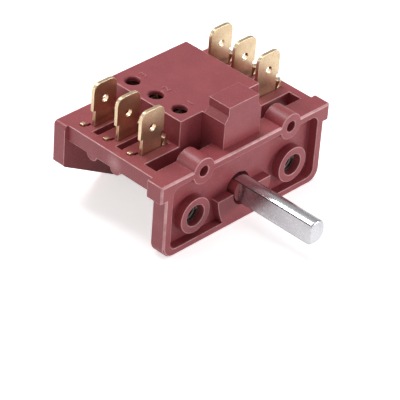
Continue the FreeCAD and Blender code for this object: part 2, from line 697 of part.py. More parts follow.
def ribbon(middle, thickness, y0, y1):
    """A bent strip of even thickness on a centre line of (x, z) points."""
    first = (2 * middle[0][0] - middle[1][0], 2 * middle[0][1] - middle[1][1])
    last = (2 * middle[-1][0] - middle[-2][0], 2 * middle[-1][1] - middle[-2][1])
    chain = [first] + middle + [last]
    sides = []
    for distance in (thickness / 2, -thickness / 2):
        corners = zip(chain, chain[1:], chain[2:])
        sides.append([offset_point(before, here, after, distance) for before, here, after in corners])
    return prism_y(sides[0] + sides[1][::-1], y0, y1)


def leaf_with_holes(row):
    """A leaf with its rivet hole and its contact hole."""
    y = circuit_y(row)
    holes = [rod_z(RIVET_X, y, RIVET_SHANK + SEAT_FIT, DECK_LOW - 1, DECK_LOW + 1),
             rod_z(-CONTACT_X, y, RIVET_SHANK + SEAT_FIT, LEAF_LOW - 1, LEAF_HIGH + 1)]
    return leaf(row).cut(holes)


def post_z(x, y, radius, z0, z1):
    """A short round post along Z, drawn with a fixed number of flats."""
    corners = []
    for side in range(RIVET_SIDES):
        angle = 2 * math.pi * side / RIVET_SIDES
        corners.append(Vector(x + radius * math.cos(angle), y + radius * math.sin(angle), z0))
    return Part.Face(Part.makePolygon(corners + corners[:1])).extrude(Vector(0, 0, z1 - z0))


def riveted(x, y, low_radius, low0, low1, high_radius, high0, high1):
    """A riveted piece: a head below, a shank, and a head above."""
    below = post_z(x, y, low_radius, low0, low1)
    above = post_z(x, y, high_radius, high0, high1)
    return below.fuse([above, post_z(x, y, RIVET_SHANK, low0, high1)])


def leaf_rivet(row):
    """The rivet that holds a leaf on its terminal."""
    top = DECK_LOW + LEAF_THICK
    return riveted(RIVET_X, circuit_y(row), TAIL_RADIUS, STRIP_LOW - TAIL_HEIGHT, STRIP_LOW, RIVET_HEAD, top,
                   top + RIVET_HEIGHT)


def moving_contact(row):
    """The contact button under a leaf's free end."""
    face = LEAF_LOW - CONTACT_THICK
    tail = LEAF_HIGH + TAIL_HEIGHT
    return riveted(-CONTACT_X, circuit_y(row), CONTACT_RADIUS, face, LEAF_LOW, TAIL_RADIUS, LEAF_HIGH, tail)


def fixed_contact(row):
    """The contact button on a left terminal."""
    under = SHELF_TOP - TAB_THICK
    tail = under - TAIL_HEIGHT
    face = SHELF_TOP + CONTACT_THICK
    return riveted(-CONTACT_X, circuit_y(row), TAIL_RADIUS, tail, under, CONTACT_RADIUS, SHELF_TOP, face)


def nut():
    """A captive nut plate on the right-hand side."""
    middle = FIXING_PITCH / 2
    half = NUT_WIDTH / 2
    back = PLATE_DEPTH + NUT_THICK
    top = NUT_BLOCK_LOW + NUT_HEIGHT
    plate = block(middle - half, middle + half, PLATE_DEPTH, back, NUT_BLOCK_LOW, top)
    return plate.cut(rod_y(middle, 0, NUT_HOLE, PLATE_DEPTH - 1, back + 1))


write("housing", housing())
write("cam_drum", drum())
write("drive_shaft", shaft())
write("detent_ball", Part.makeSphere(BALL_RADIUS, Vector(0, DETENT_Y, BALL_Z)))
write("detent_spring", detent_spring())
write("nut_right", nut())
write("nut_left", flipped(nut()))
write("terminal_right_front", single_terminal())
write("terminal_right_link", link_terminal())
for row, name in enumerate(("front", "middle", "rear")):
    write("terminal_left_" + name, left_terminal(row))
    write("leaf_" + name, leaf_with_holes(row))
    write("leaf_rivet_" + name, leaf_rivet(row))
    write("moving_contact_" + name, moving_contact(row))
    write("fixed_contact_" + name, fixed_contact(row))
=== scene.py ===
# %% [markdown]
# # An oven selector switch, dressed for a close look
#
# The construction model already holds every solid of the switch in its real place. This lesson loads it as
# a fixed frame and gives each piece what a hand would feel on the real one: broken edges, rolled bends,
# threads in the nuts and a finish of its own. Nothing is moved, because the solids say where each piece is.
# Every dressed piece is a copy, and the solid under it is hidden.

# %% Load the frame
import json
import math

import bmesh
import bpy
from mathutils import Matrix, Vector
from mathutils.bvhtree import BVHTree

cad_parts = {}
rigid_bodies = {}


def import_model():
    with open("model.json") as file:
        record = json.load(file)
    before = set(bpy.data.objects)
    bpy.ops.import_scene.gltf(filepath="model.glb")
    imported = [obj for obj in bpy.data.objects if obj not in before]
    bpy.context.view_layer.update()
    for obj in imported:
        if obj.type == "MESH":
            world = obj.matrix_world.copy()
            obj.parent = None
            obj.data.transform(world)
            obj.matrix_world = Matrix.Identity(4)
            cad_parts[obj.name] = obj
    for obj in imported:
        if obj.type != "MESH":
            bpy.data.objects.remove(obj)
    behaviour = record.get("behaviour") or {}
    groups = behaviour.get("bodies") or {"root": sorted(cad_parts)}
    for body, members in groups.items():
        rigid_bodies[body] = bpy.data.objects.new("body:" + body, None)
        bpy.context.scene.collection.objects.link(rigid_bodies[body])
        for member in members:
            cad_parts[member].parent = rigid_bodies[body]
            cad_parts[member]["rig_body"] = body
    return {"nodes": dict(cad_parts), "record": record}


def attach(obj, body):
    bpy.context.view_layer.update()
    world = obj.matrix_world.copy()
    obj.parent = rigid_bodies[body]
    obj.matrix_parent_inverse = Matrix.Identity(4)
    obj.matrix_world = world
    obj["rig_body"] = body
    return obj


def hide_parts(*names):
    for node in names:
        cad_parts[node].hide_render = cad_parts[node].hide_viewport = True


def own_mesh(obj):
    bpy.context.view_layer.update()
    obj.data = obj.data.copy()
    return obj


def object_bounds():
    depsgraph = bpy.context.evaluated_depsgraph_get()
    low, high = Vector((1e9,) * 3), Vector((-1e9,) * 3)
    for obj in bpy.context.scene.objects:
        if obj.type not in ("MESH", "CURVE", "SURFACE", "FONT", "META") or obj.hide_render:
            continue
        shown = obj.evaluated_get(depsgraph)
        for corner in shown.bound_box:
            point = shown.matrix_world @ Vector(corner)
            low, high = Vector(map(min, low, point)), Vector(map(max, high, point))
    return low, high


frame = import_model()
cad_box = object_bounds()
MM = 0.001
low, high = cad_box
print("size in mm:", [round((b - a) / MM, 1) for a, b in zip(low, high)])

# %% [markdown]
# ## The camera
#
# A long lens looks at the switch from its front left and from above. Its place was worked out from points
# that can be found both in the solids and in the picture. A camera could be aimed with a constraint, but a
# plain matrix says exactly where it stands and which way is up, so the view is the same on every run.

# %% Place the camera
PICTURE_WIDTH = 400
SENSOR_WIDTH = 36.0
CAMERA_AZIMUTH = math.radians(-47.611)
CAMERA_HEIGHT = math.radians(34.818)
CAMERA_ROLL = math.radians(4.404)
CAMERA_DISTANCE = 488.80 * MM
CAMERA_SIDE = 9.0078 * MM
CAMERA_LIFT = 2.0675 * MM
CAMERA_CLIP = 50 * MM
FOCAL_PIXELS = 2434.25


def added(name, data):
    """A new object in the scene for a mesh, a camera, a lamp or a text."""
    thing = bpy.data.objects.new(name, data)
    bpy.context.scene.collection.objects.link(thing)
    return thing


def camera_axes():
    """The camera's right, up and backward directions."""
    level = math.cos(CAMERA_HEIGHT)
    back = Vector((math.sin(CAMERA_AZIMUTH) * level, -math.cos(CAMERA_AZIMUTH) * level,
                   math.sin(CAMERA_HEIGHT)))
    right = Vector((math.cos(CAMERA_AZIMUTH), math.sin(CAMERA_AZIMUTH), 0))
    up = back.cross(right)
    turned_right = right * math.cos(CAMERA_ROLL) + up * math.sin(CAMERA_ROLL)
    turned_up = up * math.cos(CAMERA_ROLL) - right * math.sin(CAMERA_ROLL)
    return turned_right, turned_up, back


camera_data = bpy.data.cameras.new("camera")
camera_data.sensor_width = SENSOR_WIDTH
camera_data.lens = FOCAL_PIXELS / PICTURE_WIDTH * SENSOR_WIDTH
camera_data.clip_start = CAMERA_CLIP
camera = added("camera", camera_data)
right, up, back = camera_axes()
spot = back * CAMERA_DISTANCE - right * CAMERA_SIDE - up * CAMERA_LIFT
rows = [[right[i], up[i], back[i], spot[i]] for i in range(3)] + [[0, 0, 0, 1]]
camera.matrix_world = Matrix(rows)
bpy.context.scene.camera = camera
print("camera at", [round(v / MM, 1) for v in spot], "mm, lens", round(camera_data.lens, 1))

# %% [markdown]
# ## Nodes that take a number or a link
#
# A shader's nodes can be added and linked one by one, but then the wiring hides what is worked out. These
# helpers give an input either a plain number or a link, so that the shaders below read almost like sums.

# %% Write the node helpers
MATH = "ShaderNodeMath"
VECTOR_MATH = "ShaderNodeVectorMath"


def feed(tree, socket, value):
    """Give an input a plain value, or link it to an output."""
    if isinstance(value, bpy.types.NodeSocket):
        tree.links.new(value, socket)
    else:
        socket.default_value = value


def worked_out(tree, kind, operation, *values):
    """The outputs of a Math or Vector Math node."""
    node = tree.nodes.new(kind)
    node.operation = operation
    for socket, value in zip(node.inputs, values):
        feed(tree, socket, value)
    return node.outputs


def ranged(tree, value, **ends):
    """The result of a Map Range node; an end that isn't given stays at 0 or 1."""
    node = tree.nodes.new("ShaderNodeMapRange")
    feed(tree, node.inputs["Value"], value)
    for end, amount in ends.items():
        feed(tree, node.inputs[end.replace("_", " ").title()], amount)
    return node.outputs["Result"]


def level_by_ray(tree, plain, seen, mirrored):
    """A strength that differs for rays from the camera and for reflected or transmitted rays."""
    path = tree.nodes.new("ShaderNodeLightPath").outputs
    bent = worked_out(tree, MATH, "MAXIMUM", path["Is Glossy Ray"], path["Is Transmission Ray"])["Value"]
    level = plain
    for ray, amount in ((bent, mirrored), (path["Is Camera Ray"], seen)):
        choice = tree.nodes.new("ShaderNodeMix")
        feed(tree, choice.inputs["Factor"], ray)
        feed(tree, choice.inputs["A"], level)
        feed(tree, choice.inputs["B"], amount)
        level = choice.outputs["Result"]
    return level


# %% [markdown]
# ## The floor
#
# A product picture stands on seamless white paper. The floor here is pale and takes the switch's soft
# shadow. For rays from the camera it glows as well, more so further out, so that the open paper reads as
# white, and metal mirrors that glow with less. From underneath the paper is clear, so the switch can be
# looked at from below as well.

# %% Build the floor
FLOOR_SIZE = 6.0
FLOOR_COLOUR = (0.94, 0.94, 0.94, 1)
FLOOR_ROUGHNESS = 0.9
FLOOR_SEEN = 0.62
FLOOR_MIRRORED = 0.4
GLOW_STARTS = 0.1
GLOW_FULL = 0.5


def floor_material():
    """Pale paper that glows for the camera's rays and, less brightly, for mirrored ones."""
    material = bpy.data.materials.new("studio_paper")
    material.use_nodes = True
    tree = material.node_tree
    shader = tree.nodes["Principled BSDF"]
    shader.inputs["Base Color"].default_value = FLOOR_COLOUR
    shader.inputs["Roughness"].default_value = FLOOR_ROUGHNESS
    shader.inputs["Specular IOR Level"].default_value = 0.0
    place = tree.nodes.new("ShaderNodeTexCoord").outputs["Object"]
    away = worked_out(tree, VECTOR_MATH, "LENGTH", place)["Value"]
    far = ranged(tree, away, from_min=GLOW_STARTS, from_max=GLOW_FULL, to_min=FLOOR_SEEN)
    glow = tree.nodes.new("ShaderNodeEmission")
    feed(tree, glow.inputs["Strength"], level_by_ray(tree, 0.0, far, FLOOR_MIRRORED))
    paper = tree.nodes.new("ShaderNodeAddShader")
    feed(tree, paper.inputs[0], shader.outputs[0])
    feed(tree, paper.inputs[1], glow.outputs[0])
    clear = tree.nodes.new("ShaderNodeBsdfTransparent")
    side = tree.nodes.new("ShaderNodeNewGeometry")
    seen = tree.nodes.new("ShaderNodeMixShader")
    feed(tree, seen.inputs[0], side.outputs["Backfacing"])
    feed(tree, seen.inputs[1], paper.outputs[0])
    feed(tree, seen.inputs[2], clear.outputs[0])
    feed(tree, tree.nodes["Material Output"].inputs["Surface"], seen.outputs[0])
    return material


floor_mesh = bpy.data.meshes.new("floor")
reach = FLOOR_SIZE / 2
corners = [(-reach, -reach), (reach, -reach), (reach, reach), (-reach, reach)]
floor_mesh.from_pydata([(x, y, low.z) for x, y in corners], [], [(0, 1, 2, 3)])
floor_mesh.materials.append(floor_material())
floor = added("floor", floor_mesh)
print("floor at z =", round(low.z / MM, 1), "mm")

# %% [markdown]
# ## The light
#
# Large soft lamps light the switch from above, from behind and from its front right, and two weak ones fill
# the shadows on its left. The room itself is white to the camera, dimmer in the metal's mirror and dimmer
# still as light.

# %% Light the room and place the lamps
ROOM_LEVEL = 0.22
ROOM_SEEN = 1.0
ROOM_MIRRORED = 0.5

world = bpy.data.worlds.new("studio")
bpy.context.scene.world = world
world.use_nodes = True
room = world.node_tree.nodes["Background"]
room.inputs["Color"].default_value = (1, 1, 1, 1)
room_level = level_by_ray(world.node_tree, ROOM_LEVEL, ROOM_SEEN, ROOM_MIRRORED)
feed(world.node_tree, room.inputs["Strength"], room_level)


def soft_lamp(name, place, size, power):
    """A square soft lamp that faces the switch."""
    data = bpy.data.lights.new(name, "AREA")
    data.shape = "SQUARE"
    data.size = size
    data.energy = power
    lamp = added(name, data)
    lamp.location = place
    lamp.rotation_mode = "QUATERNION"
    lamp.rotation_quaternion = Vector(place).to_track_quat("Z", "Y")
    print(name, "power", power, "size", size)


soft_lamp("lamp_above", (0.06, 0.02, 0.75), size=0.5, power=1.6)
soft_lamp("lamp_behind", (-0.03, 0.47, 0.58), size=0.3, power=2.8)
soft_lamp("lamp_front_right", (0.5, -0.6, 0.05), size=0.3, power=3.5)
soft_lamp("lamp_front_left", (-0.2, -0.75, 0.03), size=0.3, power=0.7)
soft_lamp("lamp_left", (-0.55, 0.4, 0.25), size=0.4, power=0.7)

# %% [markdown]
# ## Shared effects for the finishes
#
# Moulded plastic, brass and steel all vary a little over their surface. One node group makes that
# variation: two noises of different size give a mask, and the mask shifts a colour and a roughness. The
# finer one also gives a height. A third noise adds specks, and a scuff can be set at one place, such as the
# mark left where the moulding was fed. As a group with named inputs it is built once, and each material
# sets its own numbers. It reads Object coordinates, which are the same metres as the mesh, so the grain
# keeps its real size on every piece.

# %% Build the mottling group
COLOUR = "NodeSocketColor"
NUMBER = "NodeSocketFloat"
VECTOR = "NodeSocketVector"
MOTTLING_INPUTS = (("Colour", COLOUR), ("Second Colour", COLOUR), ("Cloud Scale", NUMBER),
                   ("Grain Scale", NUMBER), ("Speck Colour", COLOUR), ("Speck Scale", NUMBER),
                   ("Speck Amount", NUMBER), ("Roughness", NUMBER), ("Roughness Spread", NUMBER),
                   ("Stretch", VECTOR), ("Scuff Place", VECTOR), ("Scuff Reach", NUMBER),
                   ("Scuff Amount", NUMBER))
MOTTLING_OUTPUTS = (("Colour", COLOUR), ("Roughness", NUMBER), ("Height", NUMBER))
CLOUD_LOW = 0.35
CLOUD_HIGH = 0.65
CLOUD_SHARE = 0.6
GRAIN_SHARE = 0.4
SPECK_LOW = 0.56
SPECK_HIGH = 0.72
MIX_FIRST = 6       # a Mix node's first colour, among its inputs
MIX_SECOND = 7
MIX_RESULT = 2      # and its colour, among its outputs


def colour_mix(tree, factor, first, second):
    """Two colours mixed by a factor."""
    node = tree.nodes.new("ShaderNodeMix")
    node.data_type = "RGBA"
    feed(tree, node.inputs["Factor"], factor)
    feed(tree, node.inputs[MIX_FIRST], first)
    feed(tree, node.inputs[MIX_SECOND], second)
    return node.outputs[MIX_RESULT]


def mottling_group():
    """Colour, roughness and height that vary over a surface."""
    group = bpy.data.node_groups.new("mottling", "ShaderNodeTree")
    for name, kind in MOTTLING_INPUTS:
        group.interface.new_socket(name, in_out="INPUT", socket_type=kind)
    for name, kind in MOTTLING_OUTPUTS:
        group.interface.new_socket(name, in_out="OUTPUT", socket_type=kind)
    given = group.nodes.new("NodeGroupInput").outputs
    made = group.nodes.new("NodeGroupOutput").inputs
    place = group.nodes.new("ShaderNodeTexCoord").outputs["Object"]
    stretched = worked_out(group, VECTOR_MATH, "MULTIPLY", place, given["Stretch"])["Vector"]
    noises = []
    for scale, detail in (("Cloud Scale", 3.0), ("Grain Scale", 2.0), ("Speck Scale", 1.0)):
        noise = group.nodes.new("ShaderNodeTexNoise")
        feed(group, noise.inputs["Vector"], stretched)
        feed(group, noise.inputs["Scale"], given[scale])
        feed(group, noise.inputs["Detail"], detail)
        noises.append(noise.outputs["Fac"])
    cloud, grain, speck = noises
    clouds = ranged(group, cloud, from_min=CLOUD_LOW, from_max=CLOUD_HIGH, to_max=CLOUD_SHARE)
    mask = worked_out(group, MATH, "MULTIPLY_ADD", grain, GRAIN_SHARE, clouds)["Value"]
    colour = colour_mix(group, mask, given["Colour"], given["Second Colour"])
    specks = ranged(group, speck, from_min=SPECK_LOW, from_max=SPECK_HIGH, to_max=given["Speck Amount"])
    dotted = colour_mix(group, specks, colour, given["Speck Colour"])
    away = worked_out(group, VECTOR_MATH, "DISTANCE", place, given["Scuff Place"])["Value"]
    fading = ranged(group, away, from_max=given["Scuff Reach"], to_min=given["Scuff Amount"], to_max=0.0)
    broken = worked_out(group, MATH, "MULTIPLY", fading, grain)["Value"]
    scuffed = colour_mix(group, broken, dotted, given["Speck Colour"])
    rough = worked_out(group, MATH, "MULTIPLY_ADD", mask, given["Roughness Spread"], given["Roughness"])
    feed(group, made["Colour"], scuffed)
    feed(group, made["Roughness"], rough["Value"])
    feed(group, made["Height"], grain)
    return group


MOTTLING = mottling_group()
print("mottling group with", len(MOTTLING.nodes), "nodes")

# %% [markdown]
# ## The finishes
#
# The housing and the drum are a red-brown thermoset, pressed hot: satin and slightly clouded. A paler colour
# is painted along every edge as a highlight, partly as wear where the mould's flash was tumbled from. The
# terminals are plain rolled brass with paler edges painted as highlight, the shaft is bright plated steel
# with a dark reflection painted along its flat, the nuts are zinc plated with threads painted dark as shade
# in the bores, and the leaves are a redder bronze, painted nearly black like the contacts as shade in the
# sight holes.
# Each material is the same small function with other numbers, so the finishes can be compared line by line.

# %% Make the materials
SCUFF_PLACE = (-22.8 * MM, 14.7 * MM, 8.7 * MM)
SCUFF_REACH = 2.4 * MM
GRAIN_SCALE = 2500.0
SPECK_SCALE = 4200.0
RELIEF_DEPTH = 0.05 * MM
PALE_SPECK = (0.75, 0.42, 0.43)
WHITE_SPECK = (0.97, 0.96, 0.95)
DARK_SPECK = (0.4, 0.28, 0.18)
ALONG_SHAFT = (1, 0.4, 1)


def finish_material(name, colour, second, speck=WHITE_SPECK, specks=0.0, roughness=0.3, spread=0.12,
                    metallic=0.0, cloud=180.0, bump=0.1, stretch=(1, 1, 1), scuff=0.0):
    """A material with the mottling group on a Principled shader."""
    material = bpy.data.materials.new(name)
    material.use_nodes = True
    tree = material.node_tree
    shader = tree.nodes["Principled BSDF"]
    shader.inputs["Metallic"].default_value = metallic
    effect = tree.nodes.new("ShaderNodeGroup")
    effect.node_tree = MOTTLING
    values = {"Colour": (*colour, 1), "Second Colour": (*second, 1), "Speck Colour": (*speck, 1),
              "Speck Amount": specks, "Speck Scale": SPECK_SCALE, "Cloud Scale": cloud,
              "Grain Scale": GRAIN_SCALE, "Roughness": roughness, "Roughness Spread": spread,
              "Stretch": stretch, "Scuff Place": SCUFF_PLACE, "Scuff Reach": SCUFF_REACH,
              "Scuff Amount": scuff}
    for socket, value in values.items():
        feed(tree, effect.inputs[socket], value)
    relief = tree.nodes.new("ShaderNodeBump")
    feed(tree, relief.inputs["Strength"], bump)
    feed(tree, relief.inputs["Distance"], RELIEF_DEPTH)
    feed(tree, relief.inputs["Height"], effect.outputs["Height"])
    feed(tree, shader.inputs["Base Color"], effect.outputs["Colour"])
    feed(tree, shader.inputs["Roughness"], effect.outputs["Roughness"])
    feed(tree, shader.inputs["Normal"], relief.outputs["Normal"])
    return material


FINISH = {
    "moulding": finish_material("thermoset", (0.37, 0.073, 0.086), (0.3, 0.053, 0.064),
                                speck=PALE_SPECK, specks=0.12, roughness=0.36, scuff=1.0),
    # A paler colour for the rounded edges: a painted highlight, partly tumbling wear.
    "moulding_painted_highlight": finish_material("thermoset_painted_highlight", (0.82, 0.47, 0.48), (0.52, 0.19, 0.2),
                                     speck=PALE_SPECK, specks=0.2, cloud=420.0),
    "moulding_mark": finish_material("thermoset_mark", (0.5, 0.16, 0.17), (0.42, 0.11, 0.12),
                                     speck=PALE_SPECK, specks=0.3, roughness=0.34),
    "drum": finish_material("thermoset_drum", (0.40, 0.085, 0.09), (0.33, 0.06, 0.068),
                            speck=PALE_SPECK, specks=0.12, roughness=0.34),
    "brass": finish_material("terminal_brass", (0.82, 0.66, 0.44), (0.66, 0.49, 0.31), speck=DARK_SPECK,
                             specks=0.6, roughness=0.27, spread=0.08, metallic=1.0, cloud=300.0, bump=0.03),
    # Paler brass for the cut edges: a painted highlight.
    "brass_painted_highlight": finish_material("terminal_brass_edge", (0.96, 0.85, 0.62), (0.9, 0.76, 0.52),
                                  roughness=0.32, metallic=1.0, bump=0.05),
    # Nearly black: painted shade for the leaves inside the dark sight holes.
    "bronze": finish_material("leaf_bronze", (0.22, 0.12, 0.075), (0.14, 0.08, 0.05),
                              roughness=0.45, metallic=1.0),
    # Nearly black: painted shade for the contacts inside the dark sight holes.
    "silver": finish_material("contact_silver", (0.09, 0.07, 0.06), (0.05, 0.04, 0.035),
                              roughness=0.5, metallic=1.0),
    "steel": finish_material("plated_steel", (0.72, 0.72, 0.75), (0.5, 0.5, 0.53), specks=0.4,
                             roughness=0.2, metallic=1.0, bump=0.12, stretch=ALONG_SHAFT),
    # Near-black strip for the edges of the shaft's flat: a painted dark reflection.
    "steel_painted_dark_streak": finish_material("plated_steel_edge", (0.05, 0.05, 0.055), (0.03, 0.03, 0.035),
                                  roughness=0.6),
    "ball": finish_material("ball_steel", (0.75, 0.75, 0.77), (0.66, 0.66, 0.68),
                            roughness=0.12, metallic=1.0),
    "wire": finish_material("spring_wire", (0.45, 0.45, 0.46), (0.34, 0.34, 0.35), metallic=1.0),
    "zinc": finish_material("zinc_plate", (0.88, 0.89, 0.9), (0.62, 0.63, 0.65),
                            specks=0.3, roughness=0.24, metallic=1.0),
    # Dark colour: painted shade for the threads and collars inside the bores.
    "thread": finish_material("thread_painted_shade", (0.26, 0.2, 0.19), (0.1, 0.08, 0.075),
                              specks=0.12, roughness=0.5, metallic=1.0),
}
print(len(FINISH), "finishes")

# %% [markdown]
# ## Broken edges
#
# No moulding and no stamping has perfectly sharp edges, and a thin bright line along an edge is most of
# what makes a small part look real. The solids' triangles are merged into flat faces, the outward edges are
# found by their angle, and the Bevel modifier rounds only those. It also gives the rounded strip a material
# of its own. On the thermoset's and the brass's edges that material paints a paler colour as highlight, and
# on the shaft's it paints a near-black line as a dark reflection. Narrow chamfers of the thermoset also take
# the pale colour. The hard corners that remain are marked sharp, and the Weighted Normal modifier keeps the
# large faces flat beside the rounding.

# %% Find the edges that are rounded
SHARP = math.radians(28)
CREASE = math.radians(50)
CHAMFER_LEAST = math.radians(35)
CHAMFER_MOST = math.radians(55)
CHAMFER_WIDTH = 0.6 * MM
ALONG_AXIS = 0.95
LEAST_EDGE = 0.13 * MM
NARROW_GAP = 1.3 * MM
PROBE_INWARD = 0.06 * MM
PROBE_LIFT = 0.01 * MM
BORE_RIM = 3.45
DOME_LEVEL = 16.0
SIGHT_X = -7.9
SIGHT_ROWS = (12.0, 18.75, 25.5)
SIGHT_RIM = 2.4
NOSE_HALF = 5.5
NOSE_BACK = 9.5
DECK_TOP = 10.8
NOSE_WEIGHT = 0.5


def is_quiet(point):
    """Whether a point lies at the shaft's bore or at a sight hole, whose rims stay crisp and plain."""
    x, y, z = point / MM
    if math.hypot(x, z) < BORE_RIM:
        return True
    return z > DOME_LEVEL and any(math.hypot(x - SIGHT_X, y - row) < SIGHT_RIM for row in SIGHT_ROWS)


def edge_weight(edge):
    """How much of the bevel's width an edge gets; the nose's edges are crisper than the rest."""
    x, y, z = (edge.verts[0].co + edge.verts[1].co) / 2 / MM
    return NOSE_WEIGHT if abs(x) < NOSE_HALF and y < NOSE_BACK and z > DECK_TOP else 1.0


def borders_gap(edge, tree):
    """Whether an edge stands beside a slot too narrow for its edges to be rounded."""
    middle = (edge.verts[0].co + edge.verts[1].co) / 2
    pair = list(edge.link_faces)
    for face, other in (pair, pair[::-1]):
        inward = face.normal * face.normal.dot(other.normal) - other.normal
        start = middle + inward.normalized() * PROBE_INWARD + face.normal * PROBE_LIFT
        if tree.ray_cast(start, face.normal, NARROW_GAP)[0] is not None:
            return True
    return False


def is_chamfer(face):
    """Whether a face is a narrow slanted strip between two blunt outward edges."""
    blunt = 0
    for edge in face.edges:
        if len(edge.link_faces) == 2 and CHAMFER_LEAST < edge.calc_face_angle_signed(0.0) < CHAMFER_MOST:
            blunt += 1
    longest = max(edge.calc_length() for edge in face.edges)
    slanted = max(abs(v) for v in face.normal) < ALONG_AXIS
    return slanted and blunt >= 2 and face.calc_area() / longest < CHAMFER_WIDTH


def mark_edges(shape, moulded, choose):
    """Bevel weight on the outward sharp edges and a sharp mark on the others; on a moulding, chamfers get the
    pale colour painted as highlight.
    """
    weight = shape.edges.layers.float.new("bevel_weight_edge")
    shape.normal_update()
    tree = BVHTree.FromBMesh(shape)
    marked = 0
    for face in shape.faces:
        face.smooth = True
        pale = moulded and is_chamfer(face) and not is_quiet(face.calc_center_median())
        face.material_index = int(pale)
    for edge in shape.edges:
        if len(edge.link_faces) != 2:
            continue
        angle = edge.calc_face_angle_signed(0.0)
        quiet = moulded and is_quiet(edge.verts[0].co) and is_quiet(edge.verts[1].co)
        if angle < -SHARP:
            edge.smooth = False
        elif angle > SHARP:
            left_out = choose and not choose(edge)
            if quiet or left_out or edge.calc_length() < LEAST_EDGE or borders_gap(edge, tree):
                edge.smooth = False
            else:
                edge[weight] = edge_weight(edge) if moulded else 1.0
                marked += 1
    return marked


# %% Make a dressed copy of a solid
MERGE_WITHIN = 0.0005 * MM
FLAT_WITHIN = math.radians(0.5)
EDGE_SLOT = 1
LARGE_FACE_WEIGHT = 100
SLOT = {part["node"]: part["material_slot"] for part in frame["record"]["subparts"]}


def merged_copy(node):
    """The node's mesh with its loose triangles merged into flat faces."""
    shape = bmesh.new()
    shape.from_mesh(frame["nodes"][node].data)
    bmesh.ops.remove_doubles(shape, verts=shape.verts, dist=MERGE_WITHIN)
    bmesh.ops.dissolve_limit(shape, angle_limit=FLAT_WITHIN, verts=shape.verts, edges=shape.edges)
    return shape


def plain_mesh(holder):
    """What an object shows with its modifiers, as a plain mesh; the object itself is removed."""
    graph = bpy.context.evaluated_depsgraph_get()
    mesh = bpy.data.meshes.new_from_object(holder.evaluated_get(graph))
    bpy.data.objects.remove(holder)
    return mesh


def rounded_mesh(name, shape, width, segments, finishes):
    """The shape with its marked edges rounded and its remaining hard corners marked, as a plain mesh."""
    mesh = bpy.data.meshes.new("unrounded")
    shape.to_mesh(mesh)
    for finish in finishes:
        mesh.materials.append(FINISH[finish])
    holder = added("holder", mesh)
    bevel = holder.modifiers.new("edges", "BEVEL")
    bevel.limit_method = "WEIGHT"
    bevel.offset_type = "WIDTH"
    bevel.width = width * MM
    bevel.segments = segments
    bevel.material = EDGE_SLOT
    bevel.loop_slide = False
    bevel.use_clamp_overlap = False
    made = plain_mesh(holder)
    made.name = name
    crisp = bmesh.new()
    crisp.from_mesh(made)
    for edge in crisp.edges:
        if len(edge.link_faces) == 2:
            edge.smooth = -SHARP < edge.calc_face_angle_signed(0.0) < CREASE
    crisp.to_mesh(made)
    crisp.free()
    return made


def dressed(node, name, width, finish, edge=None, segments=2, moulded=False, adjust=None, choose=None):
    """A copy of a node with rounded outward edges, in its finish, standing for the node."""
    shape = merged_copy(node)
    if adjust:
        adjust(shape)
    marked = mark_edges(shape, moulded, choose)
    mesh = rounded_mesh(name, shape, width, segments, (finish, edge or finish))
    shape.free()
    piece = added(name, mesh)
    even = piece.modifiers.new("flat_faces", "WEIGHTED_NORMAL")
    even.weight = LARGE_FACE_WEIGHT
    even.keep_sharp = True
    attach(piece, frame["nodes"][node]["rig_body"])
    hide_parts(node)
    print(name, "edges rounded:", marked, "faces:", len(mesh.polygons))


# %% [markdown]
# ## The moulding
#
# The housing is one pressed piece with its plate, deck, dome, nose and bearings. Its edges are broken by
# about a tenth or two of a millimetre, and a colour paler than its faces is painted on them as highlight.
# The drum is the same stuff in a slightly warmer tone. Its hub sits in the plate's bore, and the ring between
# them is deep and dark, so here the ring's face is set further in. Only the crescent beside the shaft's flat
# comes forward.

# %% Dress the housing and the drum
HOUSING_EDGE = 0.22
DRUM_EDGE = 0.15
HUB_FACE = 1.7
HUB_FACE_DEEP = 3.3
HUB_FACE_WITHIN = 0.02
HUB_INNER = 2.7


def deepen_hub(shape):
    """The hub's ring face moved back into the bore."""
    moved = 0
    for vert in shape.verts:
        at_face = abs(vert.co.y / MM - HUB_FACE) < HUB_FACE_WITHIN
        if at_face and math.hypot(vert.co.x, vert.co.z) > HUB_INNER * MM:
            vert.co.y = HUB_FACE_DEEP * MM
            moved += 1
    print("hub points set back:", moved)


dressed("housing", "moulded_housing", HOUSING_EDGE, "moulding", "moulding_painted_highlight", moulded=True)
dressed("cam_drum", "moulded_cam_drum", DRUM_EDGE, "drum", "moulding_painted_highlight", moulded=True, adjust=deepen_hub)

# %% [markdown]
# ## Circuit numbers
#
# The three circuits are told apart by a small raised number beside each sight hole, which the mould forms
# on the dome's top. Blender's text object gives the digits. It is turned into a mesh before it is put in
# its place, and its doubles are merged, so that each digit is a closed little block that stands a tenth of
# a millimetre proud.

# %% Raise the numbers on the dome
DOME_TOP = 16.7
NUMBER_SIZE = 2.6
NUMBER_RISE = 0.12
NUMBER_SHIFT = 3.0
NUMBER_CURVE_STEPS = 3
NUMBER_MERGE = 0.001 * MM
FACES_UP = 0.5


def open_edges(shape):
    """How many edges don't lie between two faces."""
    return sum(1 for edge in shape.edges if len(edge.link_faces) != 2)


